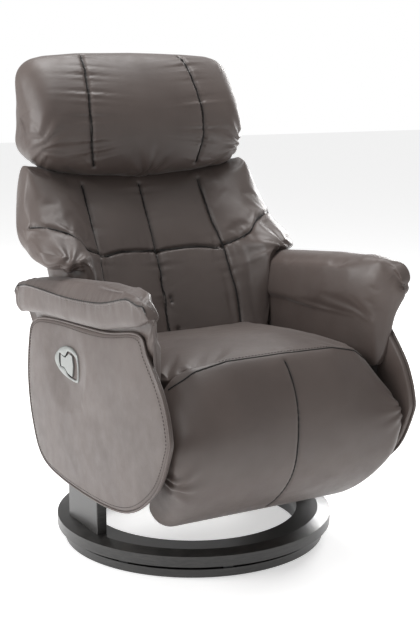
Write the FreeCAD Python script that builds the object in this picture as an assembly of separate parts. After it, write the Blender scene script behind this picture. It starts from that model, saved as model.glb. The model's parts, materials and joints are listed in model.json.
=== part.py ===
import FreeCAD, Part
import math
import os

# Swivel recliner armchair. Millimetres, +Z up, front towards -Y, sitter's right is -X.
# The origin is the middle of the base ring, on the floor.

# base
floorRingOuter = 307
floorRingInner = 250
padHeight = 2
floorRingTop = 20
turnRingOuter = 324
turnRingShoulder = 295
turnRingInner = 245
turnRingBottom = 32
turnRingEdgeTop = 56
turnRingTop = 63
glideCount = 8

# posts and chassis
postOuter = 290
postThick = 24
postHalfDepth = 77
postTop = 330
beamBottom = 292
beamTop = 317
railInner = 224
railOuter = 232
railTop = 372

# arms
panelInner = 291
panelOuter = 304
armInnerFace = 240
padInner = 239.5
padOuter = 334

# joints
footPivot = (-352, 432)
reclinePivot = (195, 430)
headPivot = (292, 838)
leverAxle = 66
pinRadius = 6
pinPlay = 0.05
leverPinRadius = 2.5
headPinRadius = 4
strutPin = (195, 346)
strutFoot = (-150, 338)

# back, in its leaning plane
hingeInner = 100
backLean = 27
backStart = (90, 452)
cushionThick = 92
frameThick = 26
seatHalfWidth = 236

os.makedirs("parts", exist_ok=True)
Vec = FreeCAD.Vector
lean = math.radians(backLean)
upY, upZ = math.sin(lean), math.cos(lean)


def keep(name, shape):
    solids = shape.Solids
    result = solids[0] if len(solids) == 1 else Part.makeCompound(solids)
    result.exportStep("parts/" + name + ".step")
    print(name, len(solids), round(result.Volume / 1000), "cm3")


def box(x0, x1, y0, y1, z0, z1):
    return Part.makeBox(x1 - x0, y1 - y0, z1 - z0, Vec(x0, y0, z0))


def rodX(x0, x1, centre, radius):
    return Part.makeCylinder(radius, x1 - x0, Vec(x0, centre[0], centre[1]), Vec(1, 0, 0))


def rodZ(x, y, z0, z1, radius):
    return Part.makeCylinder(radius, z1 - z0, Vec(x, y, z0), Vec(0, 0, 1))


def tubeRing(inner, outer, z0, z1):
    return rodZ(0, 0, z0, z1, outer).cut(rodZ(0, 0, z0 - 1, z1 + 1, inner))


def outlineFace(points, x, curved):
    spots = [Vec(x, y, z) for y, z in points]
    if curved:
        curve = Part.BSplineCurve()
        curve.interpolate(spots, PeriodicFlag=True)
        wire = Part.Wire([curve.toShape()])
    else:
        wire = Part.makePolygon(spots + [spots[0]])
    return Part.Face(wire)


def slab(points, x0, x1, curved=False):
    # an outline in the side view, carried across the width
    return outlineFace(points, x0, curved).extrude(Vec(x1 - x0, 0, 0))


def rounded(shape, radius, pick):
    edges = [edge for edge in shape.Edges if pick(edge)]
    return shape.makeFillet(radius, edges)


def alongX(edge):
    ends = edge.Vertexes
    return len(ends) == 2 and abs(ends[0].X - ends[1].X) > 0.99 * edge.Length


def atSides(edge):
    bounds = edge.BoundBox
    return bounds.XLength < 0.01


def bothSides(make):
    # the same piece for the sitter's right (-X) and left (+X)
    left = make()
    right = left.mirror(Vec(0, 0, 0), Vec(1, 0, 0))
    return right, left


def leaning(u, depth):
    # u runs up the back, depth runs from its front face to its rear
    y = backStart[0] + u * upY + depth * upZ
    z = backStart[1] + u * upZ - depth * upY
    return y, z


def leanSlab(u0, u1, d0, d1, x0, x1):
    corners = [leaning(u0, d0), leaning(u1, d0), leaning(u1, d1), leaning(u0, d1)]
    return slab(corners, x0, x1)


def spread(piece, count, turn=0):
    step = 360 / count
    return [piece.rotated(Vec(0, 0, 0), Vec(0, 0, 1), turn + i * step) for i in range(count)]


# base ring on the floor
def makeFloorBase():
    ring = tubeRing(floorRingInner, floorRingOuter, padHeight, floorRingTop)
    rebate = tubeRing(floorRingInner - 5, floorRingInner + 10, padHeight - 1, padHeight + 8)
    keep("floor_ring", ring.cut(rebate))
    pad = rodZ(0, 283, 0, padHeight, 14)
    keep("floor_pads", Part.makeCompound(spread(pad, glideCount)))
    block = box(-11, 11, 268, 304, floorRingTop, turnRingBottom - 0.5)
    keep("glide_blocks", Part.makeCompound(spread(block, glideCount, 30)))


# wooden ring that turns
def makeTurnRing():
    profile = [
        (turnRingInner, turnRingBottom),
        (turnRingOuter, turnRingBottom),
        (turnRingOuter, turnRingEdgeTop),
        (turnRingShoulder, turnRingTop),
        (turnRingInner, turnRingTop),
    ]
    spots = [Vec(r, 0, z) for r, z in profile]
    face = Part.Face(Part.makePolygon(spots + [spots[0]]))
    ring = face.revolve(Vec(0, 0, 0), Vec(0, 0, 1), 360)
    keep("turning_ring", ring)
    hoopOuter = floorRingInner - 1.5
    keep("centring_hoop", tubeRing(hoopOuter - 3, hoopOuter, 9, turnRingBottom))
    foot = box(-10, 10, hoopOuter - 3, floorRingInner + 6, 4, 9)
    keep("retaining_clips", Part.makeCompound(spread(foot, 4, 45)))


def makeChassis():
    inner = postOuter - postThick

    def post():
        board = box(inner, postOuter, -postHalfDepth, postHalfDepth, turnRingTop, postTop)
        board = rounded(board, 2, lambda e: e.BoundBox.ZLength > 200)
        for y in (-50, 50):
            board = board.cut(rodZ(inner + postThick / 2, y, turnRingTop - 1, turnRingTop + 70, 4))
        return board

    for name, piece in zip(("post_right", "post_left"), bothSides(post)):
        keep(name, piece)
    screws = []
    for side in (-1, 1):
        for y in (-50, 50):
            screws.append(rodZ(side * (inner + postThick / 2), y, turnRingTop, turnRingTop + 68, 4))
    keep("post_screws", Part.makeCompound(screws))

    for name, y in (("front_beam", -62), ("rear_beam", 32)):
        tube = box(-inner, inner, y, y + 30, beamBottom, beamTop)
        hollow = box(-inner - 1, inner + 1, y + 2, y + 28, beamBottom + 2, beamTop - 2)
        keep(name, tube.cut(hollow))

    def rail():
        low = beamTop
        outline = [
            (footPivot[0] - 14, footPivot[1] - 14),
            (footPivot[0] - 8, footPivot[1] + 8),
            (footPivot[0] + 14, footPivot[1] + 8),
            (footPivot[0] + 40, railTop),
            (reclinePivot[0] - 40, railTop),
            (reclinePivot[0] - 14, reclinePivot[1] + 12),
            (reclinePivot[0] + 14, reclinePivot[1] + 12),
            (reclinePivot[0] + 14, reclinePivot[1] - 16),
            (reclinePivot[0] - 24, low + 10),
            (reclinePivot[0] - 50, low),
            (footPivot[0] + 50, low),
            (footPivot[0] + 6, footPivot[1] - 30),
        ]
        plate = slab(outline, railInner, railOuter)
        for spot in (footPivot, reclinePivot):
            plate = plate.cut(rodX(railInner - 1, railOuter + 1, spot, pinRadius + pinPlay))
        return plate

    for name, piece in zip(("seat_rail_right", "seat_rail_left"), bothSides(rail)):
        keep(name, piece)


# seat
def makeSeat():
    wide = railInner - 1
    outer = box(-wide, wide, -308, 128, 334, 368)
    strutGap = box(-24, 24, 90, 130, 333, 369)
    keep("seat_frame", outer.cut(box(-wide + 34, wide - 34, -272, 94, 333, 369)).cut(strutGap))
    straps = [box(-wide + 6, wide - 6, y, y + 48, 368, 370) for y in range(-290, 80, 72)]
    keep("seat_webbing", Part.makeCompound(straps))
    outline = [
        (-334, 446),
        (-366, 472),
        (-372, 488),
        (-356, 499),
        (-220, 487),
        (-60, 468),
        (70, 452),
        (128, 441),
        (130, 376),
        (-290, 376),
    ]
    cushion = slab(outline, -seatHalfWidth, seatHalfWidth)
    keep("seat_cushion", rounded(cushion, 9, alongX))


# arms
def makeArms():
    panelOutline = [
        (-436, 345),
        (-440, 388),
        (-412, 455),
        (-350, 524),
        (-309, 562),
        (-150, 538),
        (120, 520),
        (234, 496),
        (266, 440),
        (277, 345),
        (256, 250),
        (205, 176),
        (90, 152),
        (-128, 154),
        (-273, 182),
        (-384, 257),
    ]

    def panel():
        return slab(panelOutline, panelInner, panelOuter, curved=True)

    def core():
        outline = [
            (-330, 350),
            (-318, 520),
            (-150, 524),
            (120, 510),
            (215, 490),
            (235, 420),
            (225, 260),
            (180, 215),
            (-200, 215),
            (-300, 290),
        ]
        board = slab(outline, 264, panelInner - 0.5)
        notch = box(263, panelInner, -postHalfDepth - 1, postHalfDepth + 1, 150, postTop + 1)
        return board.cut(notch)

    def inner():
        outline = [(-350, 470), (-350, 586), (-291, 573), (-147, 545), (11, 532), (126, 526), (205, 516)]
        outline = outline + [(205, 400), (-300, 400)]
        block = slab(outline, armInnerFace, 263)
        return rounded(block, 6, lambda e: atSides(e) and e.BoundBox.XMin < armInnerFace + 1)

    def pad():
        outline = [
            (-394, 606),
            (-372, 640),
            (-290, 662),
            (-150, 655),
            (40, 630),
            (240, 606),
            (312, 572),
            (322, 540),
            (300, 512),
            (262, 506),
            (215, 520),
            (126, 530),
            (11, 536),
            (-147, 549),
            (-291, 577),
        ]
        block = slab(outline, padInner, padOuter)
        block = rounded(block, 10, alongX)
        block = rounded(block, 7, atSides)
        # the pad sits over the panel's top edge
        raisedPanel = [(y, z + 0.5) for y, z in panelOutline]
        return block.cut(slab(raisedPanel, panelInner - 0.5, panelOuter + 0.5, curved=True))

    right, left = bothSides(panel)
    recess = box(-panelOuter - 2, -panelOuter + 9, -33, 101, 399, 476)
    keep("side_panel_right", right.cut(recess))
    keep("side_panel_left", left)
    for make, stem in ((core, "arm_core"), (inner, "arm_inner"), (pad, "arm_pad")):
        right, left = bothSides(make)
        keep(stem + "_right", right)
        keep(stem + "_left", left)


# release lever on the sitter's right
def makeLever():
    face = -panelOuter
    outline = [(98, 434), (60, 466), (14, 472), (-24, 466), (-29, 440), (-22, 405), (20, 404), (66, 410)]
    plate = slab(outline, face + 5, face + 8.7, curved=True)
    rim = slab(outline, face - 3, face + 5, curved=True)
    hollow = [(y * 0.9 + 3, (z - 436) * 0.84 + 436) for y, z in outline]
    rim = rim.cut(slab(hollow, face - 4, face + 5, curved=True))
    axle = (face + 0.8, leverAxle)
    lowHole = rodZ(*axle, 408, 462, leverPinRadius + pinPlay)
    keep("lever_cup", plate.fuse(rim).cut(lowHole))
    bladeOutline = [(64, 426), (44, 424), (26, 414), (2, 411), (-3, 436), (2, 458), (18, 460)]
    bladeOutline = bladeOutline + [(40, 447), (64, 450)]
    blade = slab(bladeOutline, face - 4, face - 0.5)
    knuckle = rodZ(*axle, 427, 447, 3.8)
    lever = blade.fuse(knuckle).removeSplitter()
    keep("release_lever", lever.cut(lowHole))
    keep("lever_pin", rodZ(*axle, 410, 460, leverPinRadius))


# footrest
def makeFootrest():
    half = 280
    outline = [
        (-372, 424),
        (-405, 412),
        (-427, 380),
        (-436, 345),
        (-437, 300),
        (-418, 250),
        (-372, 196),
        (-320, 154),
        (-262, 130),
        (-228, 134),
        (-222, 152),
        (-262, 182),
        (-320, 226),
        (-352, 272),
        (-364, 330),
        (-366, 400),
    ]
    pad = slab(outline, -half, half)
    keep("footrest_pad", rounded(pad, 8, atSides))
    board = [
        (-365, 396),
        (-352, 396),
        (-350, 330),
        (-337, 276),
        (-310, 238),
        (-258, 196),
        (-218, 166),
        (-221, 153.5),
        (-261.5, 183.5),
        (-319, 227),
        (-351, 273),
        (-363, 331),
    ]
    keep("footrest_board", slab(board, -212, 212))

    def hinge():
        # a flat steel arm from the board up to the pivot, inside the seat rail
        outline = [
            (footPivot[0] - 9, footPivot[1] + 10),
            (footPivot[0] + 11, footPivot[1] + 8),
            (footPivot[0] + 12, footPivot[1] - 20),
            (-330, 340),
            (-318, 300),
            (-334, 278),
            (-349, 331),
            (-351, 400),
            (footPivot[0] - 11, footPivot[1] - 10),
        ]
        plate = slab(outline, 213, 221)
        return plate.cut(rodX(200, 240, footPivot, pinRadius + pinPlay))

    for name, piece in zip(("footrest_hinge_right", "footrest_hinge_left"), bothSides(hinge)):
        keep(name, piece)


def makeHingePins():
    for name, spot in (("footrest_pins", footPivot), ("recline_pins", reclinePivot)):
        pins = bothSides(lambda: rodX(214, railOuter + 3, spot, pinRadius))
        keep(name, Part.makeCompound(list(pins)))


# back
def makeBack():
    top = 402
    lowCut = 14
    front = leanSlab(lowCut, top, 0, cushionThick, -seatHalfWidth, seatHalfWidth)
    upper = leanSlab(275, top, 0, cushionThick, -298, 298)
    notch = slab([(180, 900), (292 - 4, 834), (310, 834), (420, 900)], -310, 310)
    body = front.fuse(upper).removeSplitter()

    def wing():
        outline = [(62, 652), (98, 702), (190, 730), (232, 724), (262, 700), (215, 668), (120, 648)]
        piece = slab(outline, seatHalfWidth - 6, 330)
        return rounded(piece, 8, lambda e: atSides(e) and e.BoundBox.XMin > 329)

    right, left = bothSides(wing)
    body = body.fuse(right).fuse(left).removeSplitter()
    seatRoom = box(-seatHalfWidth - 1, seatHalfWidth + 1, 0, 250, 380, 453)
    hingeRoom = slab([(262, 850), (320, 850), (362, 790), (364, 740), (330, 700)], 98, 114)
    body = body.cut(notch).cut(seatRoom).cut(hingeRoom).cut(hingeRoom.mirror(Vec(), Vec(1, 0, 0)))
    keep("back_cushion", body)

    near = cushionThick + 0.3
    far = near + frameThick
    wide = 212
    frame = leanSlab(30, 372, near, far, -wide, wide)
    window = leanSlab(60, 340, near - 1, far + 1, -wide + 28, wide - 28)
    keep("back_frame", frame.cut(window))
    straps = [leanSlab(u, u + 40, near + 9, near + 11, -wide + 28, wide - 28) for u in range(72, 300, 62)]
    keep("back_webbing", Part.makeCompound(straps))

    rear = [leaning(60, far + 0.4), leaning(60, far + 12), (322, 520), (372, 640), (414, 760), (420, 806)]
    rear = rear + [leaning(top - 14, far + 0.4)]
    narrow = slab(rear, -230, 230)
    wideRear = slab([leaning(292, far + 0.4)] + [(380, 672), (414, 760), (420, 806)] + rear[-1:], -280, 280)
    keep("back_rear_pad", narrow.fuse(wideRear).removeSplitter())

    def plate():
        outline = [
            (reclinePivot[0] - 13, reclinePivot[1] - 12),
            (reclinePivot[0] - 12, reclinePivot[1] + 16),
            leaning(46, near + 2),
            leaning(150, near + 2),
            leaning(150, far - 2),
            (reclinePivot[0] + 16, reclinePivot[1] + 8),
            (reclinePivot[0] + 13, reclinePivot[1] - 12),
            (strutPin[0] + 10, strutPin[1] - 10),
            (strutPin[0] - 10, strutPin[1] - 10),
        ]
        piece = slab(outline, wide + 1, wide + 8)
        return piece.cut(rodX(wide, wide + 12, reclinePivot, pinRadius + pinPlay))

    for name, piece in zip(("recline_plate_right", "recline_plate_left"), bothSides(plate)):
        keep(name, piece)
    crossbar = rodX(-wide - 0.9, wide + 0.9, strutPin, 5)
    keep("recline_crossbar", crossbar)


def makeStrut():
    # gas strut between the front beam and the crossbar; its far eye has play
    y0, z0 = strutFoot
    y1, z1 = strutPin
    length = math.hypot(y1 - y0, z1 - z0)
    direction = Vec(0, (y1 - y0) / length, (z1 - z0) / length)
    foot = Vec(0, y0, z0)
    eye = Part.makeCylinder(11, 12, Vec(-6, y0, z0), Vec(1, 0, 0))
    tube = Part.makeCylinder(10, 186, foot + direction * 30, direction)
    tube = tube.fuse(Part.makeCylinder(5.5, 32, foot, direction)).fuse(eye).cut(Part.makeCylinder(4.5, 200, foot + direction * 50, direction))
    keep("strut_tube", tube.cut(rodX(-10, 10, strutFoot, 5 + pinPlay)))
    end = Part.makeCylinder(15, 12, Vec(-6, y1, z1), Vec(1, 0, 0))
    rod = Part.makeCylinder(4.3, length - 120 - 12, foot + direction * 120, direction)
    keep("strut_rod", rod.fuse(end).cut(rodX(-10, 10, (y1, z1), 10.5)))
    ears = []
    for x in (-12, 8):
        ear = slab([(-166, beamTop), (-134, beamTop), (-134, 353), (-166, 353)], x, x + 4)
        ears.append(ear)
    plate = box(-20, 20, -170, -30, beamTop, beamTop + 4)
    bracket = plate.fuse(ears[0]).fuse(ears[1]).removeSplitter()
    keep("strut_bracket", bracket.cut(rodX(-30, 30, strutFoot, 5 + pinPlay)))
    keep("strut_pin", rodX(-13, 13, strutFoot, 5))


# headrest
def makeHead():
    y0, z0 = headPivot
    pillow = [
        (y0 - 4, z0 + 1),
        (252, 836),
        (222, 870),
        (212, 930),
        (216, 985),
        (244, 1046),
        (282, 1096),
        (322, 1120),
        (340, 1116),
        (326, 1000),
        (322, 900),
        (318, 846),
    ]
    body = slab(pillow, -280, 280)
    hingeRoom = slab([(276, 820), (330, 820), (330, 892), (312, 892), (276, 856)], 98, 114)
    keep("head_pillow", body.cut(hingeRoom).cut(hingeRoom.mirror(Vec(), Vec(1, 0, 0))))
    panel = [(321, 866), (323.4, 900), (328, 1000), (336.5, 1070), (347, 1068), (339, 1000), (335, 900), (332, 866)]
    keep("head_board", slab(panel, -215, 215))
    rear = [(332, 850), (420, 856), (434, 920), (434, 985), (410, 1060), (372, 1100), (354, 1108)]
    rear = rear + [(340, 1000), (336, 900)]
    keep("head_rear_pad", slab(rear, -268, 268))


def makeHeadHinges():
    y0, z0 = headPivot

    def lower():
        outline = [
            leaning(373, cushionThick + 3),
            leaning(373, cushionThick + frameThick - 3),
            (y0 + 40, z0 - 40),
            (y0 + 9, z0 + 2),
            (y0 + 3, z0 + 8),
            (y0 - 8, z0 + 3),
            (y0 - 5, z0 - 9),
        ]
        plate = slab(outline, hingeInner, hingeInner + 5)
        return plate.cut(rodX(90, 120, headPivot, headPinRadius + pinPlay))

    def upper():
        outline = [(y0 - 8, z0 - 6), (y0 - 8, z0 + 8), (317, 885), (318, 853), (y0 + 9, z0 - 6)]
        plate = slab(outline, hingeInner + 6, hingeInner + 11)
        return plate.cut(rodX(90, 120, headPivot, headPinRadius + pinPlay))

    for make, stem in ((lower, "head_ratchet_lower"), (upper, "head_ratchet_upper")):
        right, left = bothSides(make)
        keep(stem + "_right", right)
        keep(stem + "_left", left)
    pins = bothSides(lambda: rodX(hingeInner - 1, hingeInner + 12, headPivot, headPinRadius))
    keep("head_pins", Part.makeCompound(list(pins)))


makeFloorBase()
makeTurnRing()
makeChassis()
makeSeat()
makeArms()
makeLever()
makeFootrest()
makeHingePins()
makeBack()
makeStrut()
makeHead()
makeHeadHinges()
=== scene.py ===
import json
import math
import bmesh
import bpy
import numpy as np
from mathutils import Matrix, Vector


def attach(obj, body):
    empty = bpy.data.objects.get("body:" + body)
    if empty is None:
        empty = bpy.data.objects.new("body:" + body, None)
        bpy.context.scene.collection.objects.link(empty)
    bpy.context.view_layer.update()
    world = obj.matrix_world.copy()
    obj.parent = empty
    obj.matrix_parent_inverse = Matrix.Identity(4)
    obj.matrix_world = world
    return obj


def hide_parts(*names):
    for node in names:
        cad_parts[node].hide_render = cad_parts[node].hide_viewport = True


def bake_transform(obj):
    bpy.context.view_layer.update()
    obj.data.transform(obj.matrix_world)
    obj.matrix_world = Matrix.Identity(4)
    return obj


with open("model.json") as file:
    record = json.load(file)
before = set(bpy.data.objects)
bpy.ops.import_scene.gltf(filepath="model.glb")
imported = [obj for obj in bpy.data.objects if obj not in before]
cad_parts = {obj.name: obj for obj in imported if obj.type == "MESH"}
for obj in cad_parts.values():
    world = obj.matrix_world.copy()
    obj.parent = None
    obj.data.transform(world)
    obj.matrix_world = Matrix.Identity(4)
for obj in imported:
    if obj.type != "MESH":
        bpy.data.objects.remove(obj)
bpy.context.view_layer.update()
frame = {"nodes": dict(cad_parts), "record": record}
nodes = frame["nodes"]
print("frame loaded:", len(nodes), "nodes")

leatherLook = {
    "colour": (0.066, 0.049, 0.043),
    "paleColour": (0.088, 0.067, 0.059),
    # painted shade colour for the bottom of the seam grooves
    "seamShadeColour": (0.010, 0.008, 0.007),
    "roughness": 0.47,
    "grainScale": 620.0,
    "grainDepth": 0.00022,
    "creaseScale": 26.0,
    "creaseDepth": 0.0016,
}
woodLook = {"dark": (0.012, 0.0115, 0.011), "light": (0.035, 0.033, 0.031), "roughness": 0.3}
stitchLook = {"length": 0.0052, "gap": 0.0078, "thickness": 0.0007}
clothLook = {"pressure": 4.0, "frames": 20, "cap": 0.022}
headLook = {"halfWidth": 0.288, "rounding": 0.045, "fill": 0.75}
backLook = {"halfWidth": 0.334, "rounding": 0.012, "fill": 0.8}
seatLook = {"halfWidth": 0.238, "rounding": 0.02, "fill": 0.8}
footrestLook = {"halfWidth": 0.283, "rounding": 0.030, "fill": 0.7}
armLook = {"right": -0.008, "left": 0.016, "cap": 0.009, "fill": 0.85}
panelLook = {"swell": 0.0085, "piping": 0.0026, "fill": 0.9}


# materials
def newMaterial(name, colour, roughness, metallic=0.0):
    material = bpy.data.materials.new(name)
    material.use_nodes = True
    shader = material.node_tree.nodes["Principled BSDF"]
    shader.inputs["Base Color"].default_value = (*colour, 1)
    shader.inputs["Roughness"].default_value = roughness
    shader.inputs["Metallic"].default_value = metallic
    return material, material.node_tree, shader


def addNode(tree, kind, **values):
    node = tree.nodes.new(kind)
    for key, value in values.items():
        if key in node.inputs:
            node.inputs[key].default_value = value
        else:
            setattr(node, key, value)
    return node


def colourRamp(tree, source, stops):
    ramp = tree.nodes.new("ShaderNodeValToRGB")
    for index, (place, colour) in enumerate(stops):
        element = ramp.color_ramp.elements[index] if index < 2 else ramp.color_ramp.elements.new(place)
        element.position = place
        element.color = (*colour, 1)
    tree.links.new(source, ramp.inputs[0])
    return ramp.outputs[0]


def objectCoords(tree, scale=(1, 1, 1)):
    coords = tree.nodes.new("ShaderNodeTexCoord")
    mapping = addNode(tree, "ShaderNodeMapping", Scale=scale)
    tree.links.new(coords.outputs["Object"], mapping.inputs["Vector"])
    return mapping.outputs[0]


def makeLeather():
    look = leatherLook
    material, tree, shader = newMaterial("brownLeather", look["colour"], look["roughness"])
    link = tree.links.new
    place = objectCoords(tree)
    cloud = addNode(tree, "ShaderNodeTexNoise", Scale=7.0, Detail=4.0)
    grain = addNode(tree, "ShaderNodeTexVoronoi", Scale=look["grainScale"])
    crease = addNode(tree, "ShaderNodeTexNoise", Scale=look["creaseScale"], Detail=5.0, Roughness=0.55)
    for node in (cloud, grain, crease):
        link(place, node.inputs["Vector"])
    base = colourRamp(tree, cloud.outputs["Fac"], [(0.3, look["colour"]), (0.75, look["paleColour"])])
    # painted shade: the seam attribute darkens the leather in the seam grooves
    seam = addNode(tree, "ShaderNodeAttribute", attribute_name="seam")
    mix = tree.nodes.new("ShaderNodeMix")
    mix.data_type = "RGBA"
    link(seam.outputs["Fac"], mix.inputs["Factor"])
    link(base, mix.inputs["A"])
    mix.inputs["B"].default_value = (*look["seamShadeColour"], 1)
    link(mix.outputs["Result"], shader.inputs["Base Color"])
    rough = colourRamp(tree, crease.outputs["Fac"], [(0.3, (0.40,) * 3), (0.7, (0.54,) * 3)])
    link(rough, shader.inputs["Roughness"])
    folds = addNode(tree, "ShaderNodeBump", Strength=0.35, Distance=look["creaseDepth"])
    pores = addNode(tree, "ShaderNodeBump", Strength=0.5, Distance=look["grainDepth"])
    link(crease.outputs["Fac"], folds.inputs["Height"])
    link(grain.outputs["Distance"], pores.inputs["Height"])
    link(folds.outputs[0], pores.inputs["Normal"])
    link(pores.outputs[0], shader.inputs["Normal"])
    shader.inputs["Sheen Weight"].default_value = 0.12
    shader.inputs["Sheen Roughness"].default_value = 0.4
    shader.inputs["Specular IOR Level"].default_value = 0.55
    return material


def makeWood(name, dark, light, roughness, stretch=(14, 14, 90)):
    material, tree, shader = newMaterial(name, dark, roughness)
    link = tree.links.new
    place = objectCoords(tree, stretch)
    grain = addNode(tree, "ShaderNodeTexNoise", Scale=3.0, Detail=8.0, Roughness=0.65, Distortion=0.4)
    link(place, grain.inputs["Vector"])
    link(colourRamp(tree, grain.outputs["Fac"], [(0.35, dark), (0.7, light)]), shader.inputs["Base Color"])
    rough = colourRamp(tree, grain.outputs["Fac"], [(0.3, (roughness,) * 3), (0.8, (roughness + 0.16,) * 3)])
    link(rough, shader.inputs["Roughness"])
    bump = addNode(tree, "ShaderNodeBump", Strength=0.3, Distance=0.0004)
    link(grain.outputs["Fac"], bump.inputs["Height"])
    link(bump.outputs[0], shader.inputs["Normal"])
    shader.inputs["Coat Weight"].default_value = 0.25
    shader.inputs["Coat Roughness"].default_value = 0.22
    return material


def makeSpeckled(name, colour, roughness, metallic, scale, depth):
    material, tree, shader = newMaterial(name, colour, roughness, metallic)
    link = tree.links.new
    speck = addNode(tree, "ShaderNodeTexNoise", Scale=scale, Detail=3.0)
    link(objectCoords(tree), speck.inputs["Vector"])
    paler = tuple(min(1.0, part * 1.25) for part in colour)
    link(colourRamp(tree, speck.outputs["Fac"], [(0.3, colour), (0.8, paler)]), shader.inputs["Base Color"])
    bump = addNode(tree, "ShaderNodeBump", Strength=0.25, Distance=depth)
    link(speck.outputs["Fac"], bump.inputs["Height"])
    link(bump.outputs[0], shader.inputs["Normal"])
    return material


leather = makeLeather()
blackWood = makeWood("blackStainedWood", woodLook["dark"], woodLook["light"], woodLook["roughness"])
plainWood = makeWood("frameWood", (0.30, 0.19, 0.10), (0.48, 0.33, 0.19), 0.6)
blackSteel = makeSpeckled("blackPowderCoat", (0.02, 0.02, 0.021), 0.42, 0.0, 900, 0.0002)
brightSteel = makeSpeckled("zincSteel", (0.55, 0.55, 0.55), 0.3, 1.0, 300, 0.0001)
silverPlastic = makeSpeckled("silverLever", (0.25, 0.26, 0.25), 0.38, 0.45, 1200, 0.00008)
# real dark plastic parts, also used as painted shade inside the lever well
darkPlasticAndWellShade = makeSpeckled("darkPlasticAndWellShade", (0.012, 0.012, 0.013), 0.5, 0.0, 700, 0.0002)
webbing = makeSpeckled("elasticWebbing", (0.03, 0.028, 0.026), 0.85, 0.0, 1500, 0.0004)
thread = makeSpeckled("darkThread", (0.020, 0.015, 0.013), 0.7, 0.0, 2500, 0.0001)
# painted shadow for the bottom of the seams and the seat joint
paintedSeamShadow = makeSpeckled("seamShadow", (0.006, 0.005, 0.0045), 0.8, 0.0, 1500, 0.0001)
lining = makeSpeckled("darkLining", (0.022, 0.018, 0.017), 0.8, 0.0, 1800, 0.0003)
print("materials made")


# shape helpers
def smoothLine(points, count, closed=False):
    # a smooth line through the points, evenly sampled between each pair
    points = np.asarray(points, float)
    total = len(points)
    spans = total if closed else total - 1
    line = []
    for place in np.linspace(0, spans, count, endpoint=not closed):
        i = min(int(place), spans - 1)
        t = place - i
        pick = [(i + k) % total if closed else min(max(i + k, 0), total - 1) for k in (-1, 0, 1, 2)]
        a, b, c, d = points[pick]
        curve = 2 * b + (c - a) * t + (2 * a - 5 * b + 4 * c - d) * t**2 + (3 * b - a - 3 * c + d) * t**3
        line.append(curve / 2)
    return np.array(line)


def evenLine(points, count, closed=False):
    # the same line with its points equally far apart
    line = smoothLine(points, count * 6, closed)
    if closed:
        line = np.vstack([line, line[:1]])
    steps = np.concatenate([[0], np.cumsum(np.linalg.norm(np.diff(line, axis=0), axis=1))])
    wanted = np.linspace(0, steps[-1], count, endpoint=not closed)
    return np.stack([np.interp(wanted, steps, line[:, k]) for k in range(line.shape[1])], axis=1)


def addMesh(name, verts, faces, material):
    mesh = bpy.data.meshes.new(name)
    mesh.from_pydata([tuple(v) for v in verts], [], faces)
    mesh.update()
    shaped = bmesh.new()
    shaped.from_mesh(mesh)
    bmesh.ops.recalc_face_normals(shaped, faces=shaped.faces)
    shaped.to_mesh(mesh)
    shaped.free()
    mesh.materials.append(material)
    mesh.shade_smooth()
    piece = bpy.data.objects.new(name, mesh)
    bpy.context.scene.collection.objects.link(piece)
    return piece


def loft(name, sections, material=leather):
    # sections: equal closed rings of 3-D points, one after another, closed at both ends
    rings = np.array(sections)
    count, around = rings.shape[:2]
    verts = [rings[0].mean(axis=0)] + list(rings.reshape(-1, 3)) + [rings[-1].mean(axis=0)]
    faces = []
    for j in range(around):
        k = (j + 1) % around
        faces.append((0, 1 + k, 1 + j))
        for i in range(count - 1):
            a = 1 + i * around
            b = a + around
            faces.append((a + j, a + k, b + k, b + j))
        last = 1 + (count - 1) * around
        faces.append((last + j, last + k, len(verts) - 1))
    return addMesh(name, verts, faces, material)


def acrossWidth(half, profile, step=0.007, around=150, rounding=0.03):
    # rings of a pad that lies across the chair; profile(x) gives its side view at |x|
    inner = np.arange(-half + rounding, half - rounding + step / 2, step)
    ends = half - rounding + rounding * np.sin(np.linspace(0.12, 1, 7) * math.pi / 2)
    spots = np.concatenate([-ends[::-1], inner, ends])
    rings = []
    for x in spots:
        side = smoothLine(profile(abs(x)), around, closed=True)
        over = max(0.0, (abs(x) - (half - rounding)) / rounding)
        shrink = math.sqrt(max(0.02, 1 - over**2))
        middle = side.mean(axis=0)
        near = side - middle
        size = np.linalg.norm(near, axis=1, keepdims=True)
        side = middle + near * np.maximum(0.05, (size - rounding * (1 - shrink)) / size)
        rings.append(np.column_stack([np.full(around, x), side]))
    return rings


def coordinates(piece):
    flat = np.empty(len(piece.data.vertices) * 3)
    piece.data.vertices.foreach_get("co", flat)
    return flat.reshape(-1, 3)


def setCoordinates(piece, points):
    piece.data.vertices.foreach_set("co", points.astype(float).ravel())
    piece.data.update()


def normals(piece):
    flat = np.empty(len(piece.data.vertices) * 3)
    piece.data.vertices.foreach_get("normal", flat)
    return flat.reshape(-1, 3)


def nearestOnSeam(points, seam):
    # distance to the seam line and how far along it the nearest point is
    steps = np.concatenate([[0], np.cumsum(np.linalg.norm(np.diff(seam, axis=0), axis=1))])
    gap = np.full(len(points), 9.0)
    along = np.zeros(len(points))
    for spot, step in zip(seam, steps):
        distance = np.linalg.norm(points - spot, axis=1)
        closer = distance < gap
        gap[closer] = distance[closer]
        along[closer] = step
    return gap, along


def waves(along, seed, pitch):
    # uneven ripples along a seam
    rng = np.random.default_rng(seed)
    knots = rng.uniform(-1, 1, 400)
    place = along / pitch
    low = np.floor(place).astype(int) % 399
    part = place - np.floor(place)
    ease = part * part * (3 - 2 * part)
    return knots[low] * (1 - ease) + knots[low + 1] * ease


def onSurface(piece, seam, lift=0.0):
    # drops a rough line on to the piece, in world coordinates
    spots = []
    for spot in seam:
        found, place, normal, face = piece.closest_point_on_mesh(Vector(spot))
        spots.append(place + normal * lift)
    return np.array([tuple(s) for s in spots])


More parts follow.
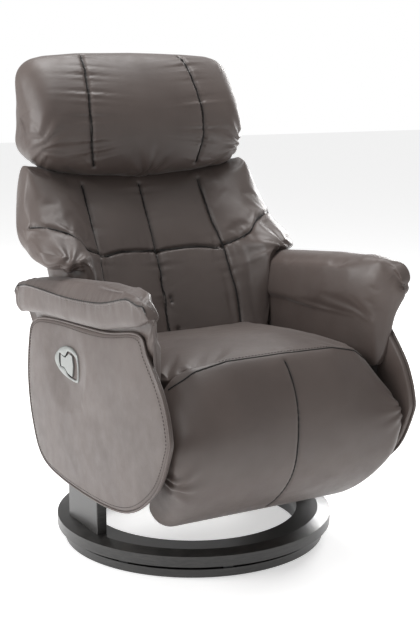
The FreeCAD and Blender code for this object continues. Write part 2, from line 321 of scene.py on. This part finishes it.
def simulate(piece, seams, pinWidth=0.006, pinned=None, cap=clothLook["cap"]):
    # air pressure puffs the pad out between its seams
    rest = coordinates(piece)
    weight = np.zeros(len(rest))
    for seam in seams:
        gap, along = nearestOnSeam(rest, seam)
        weight = np.maximum(weight, np.exp(-((gap / pinWidth) ** 2)))
    if pinned is not None:
        weight = np.maximum(weight, pinned(rest))
    group = piece.vertex_groups.new(name="pin")
    for index, value in enumerate(weight):
        if value > 0.02:
            group.add([index], float(value), "REPLACE")
    cloth = piece.modifiers.new("cloth", "CLOTH")
    cloth.settings.use_pressure = True
    cloth.settings.uniform_pressure_force = clothLook["pressure"]
    cloth.settings.effector_weights.gravity = 0
    cloth.settings.vertex_group_mass = "pin"
    cloth.settings.quality = 4
    cloth.collision_settings.use_collision = False
    cloth.point_cache.frame_start = 1
    cloth.point_cache.frame_end = clothLook["frames"]
    scene = bpy.context.scene
    for number in range(1, clothLook["frames"] + 1):
        scene.frame_set(number)
    shown = piece.evaluated_get(bpy.context.evaluated_depsgraph_get())
    flat = np.empty(len(rest) * 3)
    shown.data.vertices.foreach_get("co", flat)
    moved = flat.reshape(-1, 3) - rest
    size = np.linalg.norm(moved, axis=1, keepdims=True)
    moved *= np.minimum(1, cap / np.maximum(size, 1e-9))
    piece.modifiers.remove(cloth)
    piece.vertex_groups.remove(group)
    scene.frame_set(1)
    setCoordinates(piece, rest + moved)


def refine(piece):
    # one subdivision, kept in the mesh
    modifier = piece.modifiers.new("finer", "SUBSURF")
    modifier.levels = 1
    modifier.render_levels = 1
    shown = piece.evaluated_get(bpy.context.evaluated_depsgraph_get())
    finer = bpy.data.meshes.new_from_object(shown)
    piece.modifiers.remove(modifier)
    piece.data = finer
    piece.data.shade_smooth()


def sewIn(piece, seams, groove=0.0045, width=0.005, gather=0.0022, reach=0.03, pitch=0.011, seed=1):
    # presses each seam in, gathers the leather beside it and paints shade along the groove
    points = coordinates(piece)
    outward = normals(piece)
    shift = np.zeros(len(points))
    grooveShade = np.zeros(len(points))
    for index, seam in enumerate(seams):
        gap, along = nearestOnSeam(points, seam)
        near = np.exp(-((gap / width) ** 2))
        shift -= groove * near
        pull = waves(along, seed + index, pitch) * np.exp(-gap / reach) * (1 - np.exp(-gap / 0.004))
        strong = np.clip(waves(along, seed + 50 + index, 0.07) + 0.6, 0.15, 1)
        shift += gather * pull * strong
        # painted shade along the middle of each groove, stored as the seam attribute
        grooveShade = np.maximum(grooveShade, np.exp(-((gap / 0.0022) ** 2)))
    setCoordinates(piece, points + outward * shift[:, None])
    attribute = piece.data.attributes.get("seam") or piece.data.attributes.new("seam", "FLOAT", "POINT")
    attribute.data.foreach_set("value", np.clip(grooveShade, 0, 1).astype(np.float32))


def creases(piece, centre, heading, size, depth, count, seed):
    # soft folds that fan out from a point
    points = coordinates(piece)
    outward = normals(piece)
    offset = points - np.array(centre)
    heading = np.array(heading, float)
    heading /= np.linalg.norm(heading)
    ahead = offset @ heading
    side = offset - np.outer(ahead, heading)
    rng = np.random.default_rng(seed)
    axis = np.cross(heading, outward.mean(axis=0) + 1e-6 + rng.normal(0, 0.01, 3))
    axis /= np.linalg.norm(axis)
    across = side @ axis
    reach = np.exp(-((np.linalg.norm(offset, axis=1) / size) ** 2))
    angle = np.arctan2(across, np.abs(ahead) + 0.02)
    shift = depth * np.sin(angle * count + rng.uniform(0, 6)) * reach
    setCoordinates(piece, points + outward * shift[:, None])


def tube(name, line, radius, material, closed=False):
    curve = bpy.data.curves.new(name, "CURVE")
    curve.dimensions = "3D"
    spline = curve.splines.new("POLY")
    spline.points.add(len(line) - 1)
    for spot, place in zip(spline.points, line):
        spot.co = (*place, 1)
    spline.use_cyclic_u = closed
    curve.bevel_depth = radius
    curve.bevel_resolution = 3
    holder = bpy.data.objects.new(name, curve)
    bpy.context.scene.collection.objects.link(holder)
    shown = holder.evaluated_get(bpy.context.evaluated_depsgraph_get())
    mesh = bpy.data.meshes.new_from_object(shown)
    bpy.data.objects.remove(holder)
    mesh.materials.clear()
    mesh.materials.append(material)
    mesh.shade_smooth()
    piece = bpy.data.objects.new(name, mesh)
    bpy.context.scene.collection.objects.link(piece)
    return piece


def stitchNodes():
    # a row of short threads along a line
    tree = bpy.data.node_groups.new("stitchRow", "GeometryNodeTree")
    face = tree.interface
    face.new_socket("Geometry", in_out="INPUT", socket_type="NodeSocketGeometry")
    face.new_socket("Gap", in_out="INPUT", socket_type="NodeSocketFloat")
    face.new_socket("Length", in_out="INPUT", socket_type="NodeSocketFloat")
    face.new_socket("Thickness", in_out="INPUT", socket_type="NodeSocketFloat")
    face.new_socket("Geometry", in_out="OUTPUT", socket_type="NodeSocketGeometry")
    make = tree.nodes.new
    link = tree.links.new
    inlet = make("NodeGroupInput")
    outlet = make("NodeGroupOutput")
    toCurve = make("GeometryNodeMeshToCurve")
    spots = make("GeometryNodeCurveToPoints")
    spots.mode = "LENGTH"
    capsule = make("GeometryNodeMeshUVSphere")
    capsule.inputs["Segments"].default_value = 6
    capsule.inputs["Rings"].default_value = 5
    capsule.inputs["Radius"].default_value = 1.0
    size = make("ShaderNodeCombineXYZ")
    half = make("ShaderNodeMath")
    half.operation = "MULTIPLY"
    half.inputs[1].default_value = 0.5
    place = make("GeometryNodeInstanceOnPoints")
    real = make("GeometryNodeRealizeInstances")
    paint = make("GeometryNodeSetMaterial")
    paint.inputs["Material"].default_value = thread
    link(inlet.outputs["Geometry"], toCurve.inputs["Mesh"])
    link(toCurve.outputs["Curve"], spots.inputs["Curve"])
    link(inlet.outputs["Gap"], spots.inputs["Length"])
    link(inlet.outputs["Length"], half.inputs[0])
    link(inlet.outputs["Thickness"], size.inputs["X"])
    link(inlet.outputs["Thickness"], size.inputs["Y"])
    link(half.outputs[0], size.inputs["Z"])
    link(spots.outputs["Points"], place.inputs["Points"])
    link(spots.outputs["Rotation"], place.inputs["Rotation"])
    link(capsule.outputs["Mesh"], place.inputs["Instance"])
    link(size.outputs[0], place.inputs["Scale"])
    link(place.outputs["Instances"], real.inputs["Geometry"])
    link(real.outputs["Geometry"], paint.inputs["Geometry"])
    link(paint.outputs["Geometry"], outlet.inputs["Geometry"])
    return tree


stitchTree = stitchNodes()


def stitches(name, lines):
    verts = []
    edges = []
    for line in lines:
        first = len(verts)
        verts += [tuple(spot) for spot in line]
        edges += [(first + i, first + i + 1) for i in range(len(line) - 1)]
    mesh = bpy.data.meshes.new(name)
    mesh.from_pydata(verts, edges, [])
    piece = bpy.data.objects.new(name, mesh)
    bpy.context.scene.collection.objects.link(piece)
    modifier = piece.modifiers.new("stitches", "NODES")
    modifier.node_group = stitchTree
    values = {"Gap": stitchLook["gap"], "Length": stitchLook["length"], "Thickness": stitchLook["thickness"]}
    for socket in stitchTree.interface.items_tree:
        if socket.in_out == "INPUT" and socket.name in values:
            modifier[socket.identifier] = values[socket.name]
    shown = piece.evaluated_get(bpy.context.evaluated_depsgraph_get())
    made = bpy.data.meshes.new_from_object(shown)
    piece.modifiers.remove(modifier)
    piece.data = made
    return piece


def seamLines(name, piece, seams, body, other=None):
    # painted shadow: a thin dark tube at the bottom of each seam
    for index, seam in enumerate(seams):
        spots = onSurface(piece, seam, 0.0004)
        longer = np.vstack([np.repeat(spots[:1], 5, 0), spots, np.repeat(spots[-1:], 5, 0)])
        calm = np.stack([np.convolve(longer[:, k], np.ones(11) / 11, "valid") for k in range(3)], axis=1)
        line = tube(f"{name}{index}", calm, 0.0012, paintedSeamShadow)
        if other:
            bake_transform(line)
        else:
            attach(line, body)


def besideSeam(piece, seam, sideways, lift=0.0004):
    # a stitch row beside a seam, moved across the surface
    moved = np.array(seam) + np.array(sideways)
    return onSurface(piece, moved, lift)


# headrest
def headProfile(x):
    rise = np.interp(x, [0, 0.14, 0.22, 0.28], [0, 0.008, 0.018, 0.034])
    drop = np.interp(x, [0, 0.14, 0.22, 0.28], [0, 0.002, 0.008, 0.022])
    back = np.interp(x, [0, 0.14, 0.24, 0.28], [0, 0.004, 0.014, 0.026])
    thin = np.interp(x, [0, 0.14, 0.24, 0.28], [0, 0.006, 0.025, 0.045])
    front = [(0.262, 0.824), (0.230, 0.845), (0.212, 0.890), (0.208, 0.945), (0.220, 1.000)]
    front += [(0.246, 1.052), (0.282, 1.100)]
    rear = [(0.322, 1.121), (0.372, 1.106), (0.412, 1.050), (0.428, 0.980), (0.424, 0.905), (0.395, 0.858)]
    rear += [(0.330, 0.838)]
    share = np.array([0, 0.5, 1, 1, 1, 0.6, 0])
    points = [(y + back, z) for y, z in front]
    points += [(y + back * (1 - part) - thin * part, z) for (y, z), part in zip(rear, share)]
    low, high = 0.824, 1.121
    result = []
    for y, z in points:
        result.append((y, low + rise + (z - low) * (high - drop - low - rise) / (high - low)))
    return result


def headSeams():
    lines = []
    for side in (-1, 1):
        bow = [(0.142, 0.20, 0.826), (0.152, 0.20, 0.90), (0.154, 0.20, 0.97), (0.150, 0.21, 1.04)]
        bow += [(0.140, 0.27, 1.10), (0.132, 0.31, 1.115)]
        lines.append(smoothLine([(side * x, y, z) for x, y, z in bow], 90))
    return lines


def makeHead():
    piece = loft("headPillow", acrossWidth(headLook["halfWidth"], headProfile, rounding=headLook["rounding"]))
    seams = [onSurface(piece, line) for line in headSeams()]
    simulate(piece, seams, pinned=lambda p: np.clip((p[:, 1] - 0.34) / 0.05, 0, 1) + (p[:, 2] > 1.09))
    refine(piece)
    seams = [onSurface(piece, line) for line in seams]
    sewIn(piece, seams, groove=0.007, width=0.005, gather=0.0040, reach=0.030, pitch=0.009, seed=11)
    seamLines("headSeams", piece, seams, "head")
    creases(piece, (0.01, 0.22, 0.835), (0, 0, 1), 0.07, 0.0028, 10, 3)
    creases(piece, (-0.262, 0.25, 0.90), (1, 0, 0.3), 0.07, 0.003, 12, 4)
    creases(piece, (0.262, 0.25, 0.90), (-1, 0, 0.3), 0.07, 0.003, 12, 5)
    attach(piece, "head")
    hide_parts("head_pillow", "head_rear_pad")
    return piece


# back
backStations = {
    0.0: [
        (0.096, 0.444), (0.122, 0.53), (0.162, 0.62), (0.184, 0.66), (0.206, 0.70), (0.243, 0.76),
        (0.274, 0.812), (0.300, 0.836), (0.365, 0.838), (0.415, 0.80), (0.412, 0.74), (0.382, 0.66),
        (0.340, 0.57), (0.292, 0.49), (0.235, 0.450), (0.160, 0.447),
    ],
    0.155: [
        (0.066, 0.444), (0.098, 0.53), (0.140, 0.62), (0.163, 0.66), (0.188, 0.70), (0.228, 0.76),
        (0.262, 0.814), (0.290, 0.838), (0.350, 0.840), (0.402, 0.80), (0.400, 0.74), (0.372, 0.66),
        (0.330, 0.57), (0.285, 0.49), (0.230, 0.452), (0.150, 0.449),
    ],
    0.205: [
        (0.050, 0.446), (0.068, 0.53), (0.092, 0.62), (0.118, 0.66), (0.160, 0.70), (0.212, 0.76),
        (0.254, 0.818), (0.280, 0.842), (0.340, 0.842), (0.392, 0.80), (0.390, 0.74), (0.362, 0.66),
        (0.320, 0.57), (0.278, 0.49), (0.225, 0.454), (0.140, 0.451),
    ],
    0.230: [
        (0.046, 0.450), (0.040, 0.53), (0.036, 0.62), (0.064, 0.665), (0.128, 0.705), (0.196, 0.765),
        (0.248, 0.824), (0.270, 0.846), (0.330, 0.846), (0.384, 0.80), (0.384, 0.74), (0.355, 0.68),
        (0.310, 0.60), (0.268, 0.51), (0.215, 0.460), (0.130, 0.455),
    ],
    0.246: [
        (0.040, 0.640), (0.034, 0.645), (0.036, 0.655), (0.058, 0.674), (0.118, 0.708), (0.190, 0.768),
        (0.244, 0.830), (0.264, 0.850), (0.322, 0.850), (0.372, 0.80), (0.374, 0.74), (0.352, 0.70),
        (0.310, 0.682), (0.250, 0.662), (0.160, 0.648), (0.080, 0.642),
    ],
    0.298: [
        (0.056, 0.646), (0.046, 0.652), (0.050, 0.664), (0.078, 0.684), (0.140, 0.716), (0.198, 0.772),
        (0.245, 0.840), (0.262, 0.856), (0.300, 0.856), (0.330, 0.80), (0.332, 0.75), (0.320, 0.712),
        (0.292, 0.690), (0.240, 0.668), (0.165, 0.652), (0.100, 0.646),
    ],
    0.334: [
        (0.090, 0.652), (0.084, 0.660), (0.096, 0.674), (0.126, 0.692), (0.160, 0.706), (0.186, 0.716),
        (0.204, 0.722), (0.214, 0.726), (0.226, 0.726), (0.238, 0.720), (0.242, 0.712), (0.240, 0.702),
        (0.232, 0.690), (0.210, 0.676), (0.165, 0.660), (0.120, 0.652),
    ],
}


def backProfile(x):
    places = sorted(backStations)
    table = np.array([backStations[p] for p in places])
    x = min(x, places[-1])
    i = min(np.searchsorted(places, x, side="right") - 1, len(places) - 2)
    t = (x - places[i]) / (places[i + 1] - places[i])
    return table[i] * (1 - t) + table[i + 1] * t


def backSeams():
    def upright(x, top):
        low = [(x, 0.02, 0.455), (x, 0.05, 0.53), (x, 0.10, 0.60)]
        return low + [(x, 0.14, 0.665), (x, 0.20, 0.75), (x, 0.24, top)]

    lines = [smoothLine(upright(x, 0.825), 120) for x in (-0.155, 0.0, 0.155)]
    for side in (-1, 1):
        inner = [(0, 0.17, 0.654), (0.04, 0.165, 0.660), (0.10, 0.155, 0.664), (0.155, 0.14, 0.660)]
        lines.append(smoothLine([(side * x, y, z) for x, y, z in inner], 60))
        outer = [(0.155, 0.14, 0.664), (0.18, 0.12, 0.685), (0.22, 0.11, 0.708)]
        outer += [(0.27, 0.14, 0.722), (0.32, 0.19, 0.722)]
        lines.append(smoothLine([(side * x, y, z) for x, y, z in outer], 80))
    return lines


def makeBack():
    half, rounding = backLook["halfWidth"], backLook["rounding"]
    rings = acrossWidth(half, backProfile, step=0.006, around=170, rounding=rounding)
    piece = loft("backCushion", rings)
    seams = [onSurface(piece, line) for line in backSeams()]
    simulate(piece, seams, pinned=lambda p: np.clip((p[:, 1] - 0.30) / 0.03, 0, 1) + (p[:, 2] < 0.47))
    refine(piece)
    seams = [onSurface(piece, line) for line in seams]
    sewIn(piece, seams, groove=0.006, width=0.0045, gather=0.0024, reach=0.022, pitch=0.011, seed=31)
    seamLines("backSeams", piece, seams, "back")
    for side in (-1, 1):
        creases(piece, (side * 0.27, 0.08, 0.655), (-side * 0.5, 0.3, 1), 0.07, 0.003, 9, 6 + side)
    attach(piece, "back")
    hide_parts("back_cushion", "back_rear_pad")
    return piece


# seat
def seatProfile(x):
    pull = np.interp(x, [0, 0.12, 0.2, 0.236], [1, 0.985, 0.94, 0.90])
    sink = np.interp(x, [0, 0.12, 0.2, 0.236], [0, 0.002, 0.012, 0.030])
    points = [(-0.340, 0.444), (-0.376, 0.460), (-0.386, 0.482), (-0.372, 0.501), (-0.330, 0.504)]
    points += [(-0.20, 0.493), (-0.06, 0.474), (0.07, 0.456), (0.128, 0.449), (0.134, 0.42)]
    points += [(0.130, 0.380), (-0.10, 0.379), (-0.27, 0.380), (-0.31, 0.405)]
    result = []
    for y, z in points:
        ahead = np.clip((0.1 - y) / 0.45, 0, 1)
        result.append((0.13 + (y - 0.13) * pull, z - sink * ahead * (z > 0.44)))
    return result


def makeSeat():
    rings = acrossWidth(seatLook["halfWidth"], seatProfile, rounding=seatLook["rounding"])
    piece = loft("seatCushion", rings)
    simulate(piece, [], pinned=lambda p: (p[:, 2] < 0.43) + (p[:, 1] < -0.35) * 1.0)
    refine(piece)
    sewIn(piece, [], seed=3)
    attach(piece, "turntable")
    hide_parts("seat_cushion")
    return piece


# footrest
def footrestProfile(x):
    top = np.interp(x, [0, 0.13, 0.20, 0.235, 0.26, 0.282], [1, 0.99, 0.90, 0.74, 0.52, 0.34])
    retreat = np.interp(x, [0, 0.13, 0.20, 0.24, 0.282], [0, 0.006, 0.028, 0.048, 0.060])
    points = [(-0.374, 0.503), (-0.400, 0.476), (-0.426, 0.42), (-0.438, 0.36), (-0.438, 0.30)]
    points += [(-0.420, 0.25), (-0.378, 0.198), (-0.325, 0.156), (-0.270, 0.130), (-0.234, 0.128)]
    points += [(-0.221, 0.148), (-0.255, 0.182), (-0.312, 0.226), (-0.340, 0.275), (-0.350, 0.33)]
    points += [(-0.350, 0.40), (-0.352, 0.455), (-0.358, 0.488)]
    result = []
    for y, z in points:
        over = max(0.0, z - 0.37)
        share = min(1.0, over / 0.13)
        result.append((min(y + retreat * share, -0.330) if z > 0.37 else y, z - over * (1 - top)))
    return result


def makeFootrest():
    rings = acrossWidth(footrestLook["halfWidth"], footrestProfile, rounding=footrestLook["rounding"])
    piece = loft("footrestCover", rings)
    points = coordinates(piece)
    narrow = np.interp(points[:, 2], [0.12, 0.18, 0.26, 0.34], [0.80, 0.87, 0.97, 1.0])
    points[:, 0] *= narrow
    setCoordinates(piece, points)
    middle = [(0, -0.40, 0.50), (0.004, -0.42, 0.47), (0.006, -0.45, 0.42), (0.003, -0.46, 0.35)]
    middle += [(0, -0.46, 0.30), (0, -0.43, 0.24), (0, -0.38, 0.18), (0, -0.33, 0.14)]
    seams = [onSurface(piece, smoothLine(middle, 100))]
    held = lambda p: (p[:, 1] > -0.345) * 1.0 + (p[:, 2] > 0.485) * 1.0
    simulate(piece, seams, pinned=held)
    refine(piece)
    seams = [onSurface(piece, line) for line in seams]
    sewIn(piece, seams, groove=0.003, width=0.004, gather=0.0008, reach=0.03, pitch=0.02, seed=51)
    creases(piece, (-0.27, -0.42, 0.27), (1, 0, 0.2), 0.05, 0.003, 9, 54)
    creases(piece, (0.27, -0.42, 0.36), (-1, 0, 0), 0.05, 0.002, 12, 55)
    seamLines("footrestSeam", piece, seams, "turntable", "footrest")
    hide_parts("footrest_pad")
    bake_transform(piece)
    return piece


def makeSeatSeam(seat, footrest):
    # the double-stitched seam where the seat meets the front cover: a dark tube of painted shadow in the
    # joint, with a stitch row beside it
    line = [(-0.262, -0.345, 0.462), (-0.238, -0.364, 0.489), (-0.192, -0.368, 0.500)]
    line += [(-0.086, -0.372, 0.506), (0, -0.373, 0.506), (0.086, -0.372, 0.506)]
    line += [(0.192, -0.368, 0.500), (0.238, -0.364, 0.489), (0.262, -0.345, 0.462)]
    seam = smoothLine(line, 160)
    # painted shadow: a dark tube in the joint between seat and front cover
    cord = tube("seatSeamShadow", onSurface(footrest, seam, 0.0), 0.0016, paintedSeamShadow)
    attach(cord, "turntable")
    rows = [onSurface(seat, seam + np.array((0, 0.012, 0.004)), 0.0004)]
    sewn = stitches("seatStitches", rows)
    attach(sewn, "turntable")


# arms
armTable = {
    "y": [-0.394, -0.385, -0.37, -0.355, -0.34, -0.29, -0.18, -0.014, 0.12, 0.24, 0.29, 0.315, 0.328],
    "crest": [0.618, 0.634, 0.648, 0.656, 0.662, 0.668, 0.664, 0.648, 0.634, 0.616, 0.600, 0.580, 0.556],
    "seam": [0.612, 0.622, 0.632, 0.638, 0.641, 0.637, 0.612, 0.598, 0.595, 0.590, 0.577, 0.560, 0.545],
    "lower": [0.602, 0.598, 0.594, 0.590, 0.585, 0.575, 0.551, 0.537, 0.530, 0.521, 0.513, 0.515, 0.528],
    "foot": [0.600, 0.585, 0.550, 0.470, 0.440, 0.440, 0.440, 0.440, 0.440, 0.440, 0.505, 0.512, 0.527],
    "inner": [0.304, 0.297, 0.289, 0.278, 0.264, 0.254, 0.242, 0.240, 0.240, 0.243, 0.250, 0.262, 0.280],
    "outer": [0.312, 0.322, 0.328, 0.331, 0.333, 0.334, 0.334, 0.333, 0.332, 0.330, 0.326, 0.318, 0.304],
}


def armSection(y, raised):
    keys = ("crest", "seam", "lower", "foot", "inner", "outer")
    crest, seam, lower, foot, inner, outer = (np.interp(y, armTable["y"], armTable[key]) for key in keys)
    crest = crest + raised
    middle = (inner + outer) / 2
    leg = min(max(0.2895, inner + 0.010), outer - 0.004)
    points = [(inner + 0.004, foot), (inner, foot * 0.6 + lower * 0.4)]
    points += [(inner, lower * 0.7 + crest * 0.3), (inner + 0.010, crest - 0.020)]
    points += [(middle - 0.014, crest - 0.001), (middle + 0.016, crest - 0.003)]
    points += [(outer - 0.016, (crest + seam) / 2 + 0.006), (outer - 0.001, seam)]
    points += [(outer, seam * 0.4 + lower * 0.6)]
    points += [(outer - 0.004, lower + 0.006), (outer - 0.014, lower), ((leg + outer) / 2, lower + 0.008)]
    points += [(leg, min(lower, foot + 0.06)), (leg, foot + 0.002), ((inner + leg) / 2, foot)]
    return points


def makeArm(side, word, raised):
    nose = np.linspace(-0.394, -0.33, 12)
    tail = np.linspace(0.235, 0.328, 16)
    places = np.concatenate([nose, np.arange(-0.322, 0.23, 0.008), tail])
    rings = []
    for y in places:
        ring = evenLine(armSection(y, raised), 110, closed=True)
        rings.append(np.column_stack([side * ring[:, 0], np.full(len(ring), y), ring[:, 1]]))
    piece = loft("armCover" + word, rings)
    held = lambda p: (p[:, 2] < 0.50) + (p[:, 2] < 0.54) * (abs(p[:, 0]) < 0.3) * 1.0
    simulate(piece, [], pinned=held, cap=armLook["cap"])
    refine(piece)
    outline = [(side * 0.345, y, z) for y, z in zip(armTable["y"][1:-1], armTable["seam"][1:-1])]
    outerSeam = onSurface(piece, smoothLine(outline, 160))
    sewIn(piece, [outerSeam], groove=0.003, width=0.004, gather=0.0016, reach=0.015, pitch=0.010, seed=71)
    seamLines("armSeam" + word, piece, [outerSeam], "turntable")
    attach(piece, "turntable")
    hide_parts("arm_pad_" + word.lower(), "arm_inner_" + word.lower())
    row = stitches("armStitches" + word, [besideSeam(piece, outerSeam, (0, 0, -0.006))])
    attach(row, "turntable")
    return piece


# side panels
panelOutline = [(-0.436, 0.345), (-0.440, 0.388), (-0.412, 0.455), (-0.350, 0.524), (-0.309, 0.562)]
panelOutline += [(-0.150, 0.538), (0.120, 0.520), (0.234, 0.496), (0.266, 0.440), (0.277, 0.345)]
panelOutline += [(0.256, 0.250), (0.205, 0.176), (0.090, 0.152), (-0.128, 0.154), (-0.273, 0.182)]
panelOutline += [(-0.384, 0.257)]


def makePanel(side, word):
    outline = evenLine(panelOutline, 260, closed=True)
    middle = np.array([-0.07, 0.35])
    rings = []
    steps = [(0.0, 0.288), (0.003, 0.2905), (0.0, 0.296), (0.001, 0.3005), (0.004, 0.3028)]
    for inset, x in steps:
        reach = np.linalg.norm(outline - middle, axis=1, keepdims=True)
        ring = middle + (outline - middle) * (1 - inset / reach)
        rings.append(np.column_stack([np.full(len(ring), side * x), ring]))
    for scale in (0.955, 0.92, 0.86, 0.78, 0.68, 0.56, 0.44, 0.32, 0.20, 0.10, 0.03):
        ring = middle + (outline - middle) * scale
        swell = panelLook["swell"] * (1 - scale**3)
        if side < 0:
            away = np.linalg.norm(ring - np.array([0.035, 0.437]), axis=1)
            swell = swell * np.clip((away - 0.045) / 0.07, 0, 1) ** 1.5
        rings.append(np.column_stack([side * (0.3038 + swell * np.ones(len(ring))), ring]))
    piece = loft("sidePanel" + word, rings)
    refine(piece)
    sewIn(piece, [], seed=91)
    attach(piece, "turntable")
    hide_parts("side_panel_" + word.lower())
    reach = np.linalg.norm(outline - middle, axis=1, keepdims=True)
    edge = middle + (outline - middle) * (1 + 0.0015 / reach)
    line = np.column_stack([np.full(len(edge), side * 0.3005), edge])
    piping = tube("panelPiping" + word, line, panelLook["piping"], leather, closed=True)
    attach(piping, "turntable")
    inner = middle + (outline - middle) * (1 - 0.009 / reach)
    row = onSurface(piece, np.column_stack([np.full(len(inner), side * 0.31), inner]), 0.0004)
    sewn = stitches("panelStitches" + word, [np.vstack([row, row[:1]])])
    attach(sewn, "turntable")
    return piece


# lever surround
def makeLeverCup():
    outer = [(0.100, 0.434), (0.074, 0.461), (0.040, 0.474), (0.004, 0.475), (-0.024, 0.463), (-0.031, 0.436)]
    outer += [(-0.029, 0.408), (-0.020, 0.402), (0.020, 0.403), (0.066, 0.410)]
    inner = [(0.072, 0.424), (0.074, 0.452), (0.046, 0.449), (0.026, 0.464), (-0.004, 0.462), (-0.022, 0.450)]
    inner += [(-0.024, 0.412), (0.006, 0.407), (0.030, 0.411), (0.048, 0.422)]
    around = 96
    rim = evenLine(outer, around, closed=True)
    hole = smoothLine(inner, around, closed=True)
    middle = np.array([0.03, 0.437])
    turn = lambda ring: np.argmin(abs(np.arctan2(ring[:, 1] - middle[1], ring[:, 0] - middle[0])))
    rim = np.roll(rim, -turn(rim), axis=0)
    hole = np.roll(hole, -turn(hole), axis=0)
    rings = []
    section = [(0.0, 0.3035), (0.0, 0.3068), (0.10, 0.3082), (0.88, 0.3078), (1.0, 0.3068), (1.0, 0.2985)]
    for blend, x in section:
        ring = rim * (1 - blend) + hole * blend
        rings.append(np.column_stack([np.full(around, -x), ring]))
    verts = np.concatenate(rings)
    faces = []
    for i in range(len(rings) - 1):
        a, b = i * around, (i + 1) * around
        for j in range(around):
            k = (j + 1) % around
            faces.append((a + j, a + k, b + k, b + j))
    surround = addMesh("leverSurround", verts, faces, silverPlastic)
    # painted shade: the wall of the well is dark
    wallStart = (len(rings) - 2) * around
    surround.data.materials.append(darkPlasticAndWellShade)
    for face in surround.data.polygons:
        if face.index >= wallStart:
            face.material_index = 1
    # painted shade: a dark sheet closes the bottom of the well
    floor = middle + (hole - middle) * 1.03
    well = [np.column_stack([np.full(around, -x), floor]) for x in (0.2982, 0.2992)]
    wellShadeSheet = loft("leverWell", well, darkPlasticAndWellShade)
    for piece in (surround, wellShadeSheet):
        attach(piece, "turntable")
    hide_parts("lever_cup")


# the pieces
makeHead()
print("headrest made")
makeBack()
print("back made")
seat = makeSeat()
footrest = makeFootrest()
print("seat and footrest made")
makeSeatSeam(seat, footrest)
makeArm(-1, "Right", armLook["right"])
makeArm(1, "Left", armLook["left"])
makePanel(-1, "Right")
makePanel(1, "Left")
makeLeverCup()
print("arms and panels made")

finishes = {
    "stained_wood": blackWood,
    "plain_wood": plainWood,
    "black_steel": blackSteel,
    "bright_steel": brightSteel,
    "silver_lever": silverPlastic,
    "dark_plastic": darkPlasticAndWellShade,
    "webbing": webbing,
    "leather": leather,
}
for part in frame["record"]["subparts"]:
    node = nodes[part["node"]]
    node.data.materials.clear()
    node.data.materials.append(finishes[part["material_slot"]])
for name in ("arm_core_right", "arm_core_left"):
    nodes[name].data.materials[0] = lining


# camera, floor and light
def makeStudio():
    scene = bpy.context.scene
    camera = bpy.data.objects.new("camera", bpy.data.cameras.new("camera"))
    scene.collection.objects.link(camera)
    turn, tilt = math.radians(-30.0), math.radians(11.12)
    backward = Vector((math.sin(turn) * math.cos(tilt), -math.cos(turn) * math.cos(tilt), math.sin(tilt)))
    camera.location = (-1.4091, -2.5178, 1.0885)
    camera.rotation_euler = backward.to_track_quat("Z", "Y").to_euler()
    camera.data.lens = 72.29
    camera.data.sensor_width = 36
    scene.camera = camera

    bpy.ops.mesh.primitive_plane_add(size=30)
    floor = bpy.context.object
    floor.name = "floor"
    white, tree, shader = newMaterial("paleFloor", (0.9, 0.9, 0.9), 0.9)
    shader.inputs["Emission Color"].default_value = (1, 1, 1, 1)
    shader.inputs["Emission Strength"].default_value = 0.5
    floor.data.materials.append(white)

    world = bpy.data.worlds.new("studio")
    world.use_nodes = True
    sky = world.node_tree.nodes["Background"]
    sky.inputs[0].default_value = (1, 1, 1, 1)
    path = world.node_tree.nodes.new("ShaderNodeLightPath")
    level = world.node_tree.nodes.new("ShaderNodeMapRange")
    level.inputs["To Min"].default_value = 0.42
    level.inputs["To Max"].default_value = 1.0
    world.node_tree.links.new(path.outputs["Is Camera Ray"], level.inputs["Value"])
    world.node_tree.links.new(level.outputs["Result"], sky.inputs[1])
    scene.world = world
    lamps = {
        "sideLight": ((-3.4, 0.6, 1.9), 2.2, 110),
        "topLight": ((0.2, 0.5, 3.4), 2.0, 85),
        "rimLight": ((2.8, 1.6, 1.6), 1.4, 80),
    }
    for name, (place, size, power) in lamps.items():
        light = bpy.data.lights.new(name, "AREA")
        light.size = size
        light.energy = power
        lamp = bpy.data.objects.new(name, light)
        lamp.location = place
        lamp.rotation_euler = (Vector(place) - Vector((0, 0, 0.5))).to_track_quat("Z", "Y").to_euler()
        scene.collection.objects.link(lamp)
    scene.view_settings.view_transform = "Standard"


makeStudio()
print("studio made")
